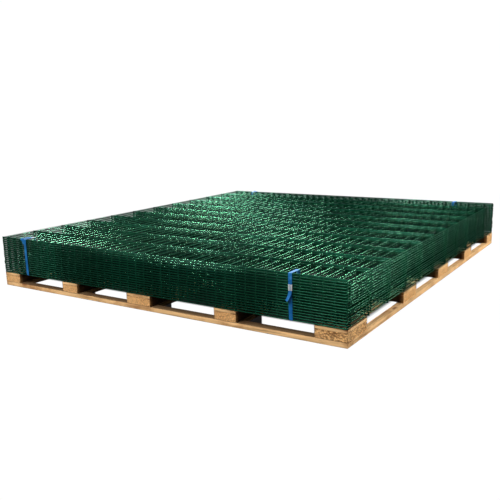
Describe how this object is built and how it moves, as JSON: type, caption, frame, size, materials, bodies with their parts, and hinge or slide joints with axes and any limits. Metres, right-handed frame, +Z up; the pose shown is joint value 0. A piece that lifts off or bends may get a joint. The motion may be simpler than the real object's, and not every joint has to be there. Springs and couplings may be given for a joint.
{
  "type": "strapped pallet load of welded mesh panels",
  "caption": "Stack of green twin-bar welded wire mesh panels, nested flat on a low timber block pallet and tied at both ends with plastic straps.",
  "frame": {"origin": "on the ground, under the middle of the load", "axes": "+Z up; +Y along the panels' rods, the load's longest side; +X along the panels' cross bars"},
  "size_m": [2.008, 2.2362, 0.2672],
  "materials": {
    "green_wire": "semi-gloss powder coat over galvanised wire",
    "blue_strap": "ribbed polypropylene strapping",
    "seal_metal": "zinc plated, crimped",
    "nail_steel": "bright steel",
    "block_wood": "pressed wood chip, sawn",
    "board_wood": "rough sawn softwood"
  },
  "bodies": {
    "root": {"back_block_caps": "board_wood", "back_bottom_batten": "board_wood", "block_back_left": "block_wood", "block_back_mid_left": "block_wood", "block_back_mid_right": "block_wood", "block_back_middle": "block_wood", "block_back_right": "block_wood", "block_fourth_left": "block_wood", "block_fourth_right": "block_wood", "block_front_left": "block_wood", "block_front_mid_left": "block_wood", "block_front_mid_right": "block_wood", "block_front_middle": "block_wood", "block_front_right": "block_wood", "block_second_left": "block_wood", "block_second_right": "block_wood", "block_third_left": "block_wood", "block_third_right": "block_wood", "bottom_nails": "nail_steel", "front_block_caps": "board_wood", "front_bottom_batten": "board_wood", "inner_blocks": "block_wood", "left_inner_bottom_batten": "board_wood", "left_outer_bottom_batten": "board_wood", "middle_bottom_board_1": "board_wood", "middle_bottom_board_2": "board_wood", "middle_bottom_board_3": "board_wood", "panel_01": "green_wire", "panel_02": "green_wire", "panel_03": "green_wire", "panel_04": "green_wire", "panel_05": "green_wire", "panel_06": "green_wire", "panel_07": "green_wire", "panel_08": "green_wire", "panel_09": "green_wire", "panel_10": "green_wire", "panel_11": "green_wire", "panel_12": "green_wire", "panel_13": "green_wire", "panel_14": "green_wire", "panel_15": "green_wire", "panel_16": "green_wire", "panel_17": "green_wire", "right_inner_bottom_batten": "board_wood", "right_outer_bottom_batten": "board_wood", "seal_back_left": "seal_metal", "seal_back_right": "seal_metal", "seal_front_left": "seal_metal", "seal_front_right": "seal_metal", "strap_back_left": "blue_strap", "strap_back_right": "blue_strap", "strap_front_left": "blue_strap", "strap_front_right": "blue_strap", "top_board_1": "board_wood", "top_board_2": "board_wood", "top_board_3": "board_wood", "top_nails": "nail_steel"}
  },
  "joints": []
}
